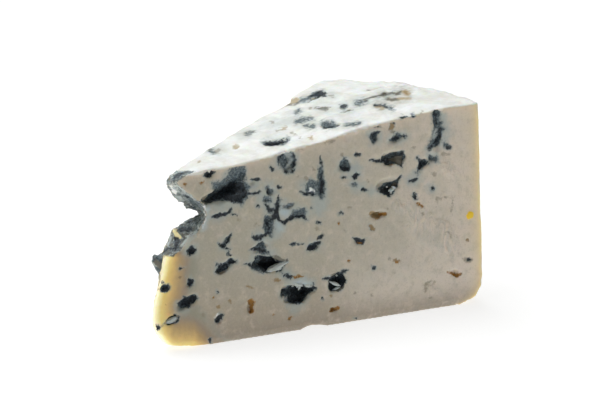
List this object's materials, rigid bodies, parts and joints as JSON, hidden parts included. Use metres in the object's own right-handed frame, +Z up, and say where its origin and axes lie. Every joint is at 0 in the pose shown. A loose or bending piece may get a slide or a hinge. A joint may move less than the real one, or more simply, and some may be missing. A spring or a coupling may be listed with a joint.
{
  "type": "roquefort wedge",
  "caption": "Wedge of blue-veined sheep's milk cheese with two cut sides, a veined top, a curved rim, mouldy hollows and a broken tip.",
  "frame": {"origin": "middle of the wedge's length and width, on the flat base it rests on", "axes": "+X from the tip to the rim, +Y across to the far cut side, +Z up"},
  "size_m": [0.0967, 0.0596, 0.0558],
  "materials": {
    "cheese_paste": "moist ivory paste with blue-green mould in its hollows and veins"
  },
  "bodies": {
    "root": {"cheese": "cheese_paste"}
  },
  "joints": []
}
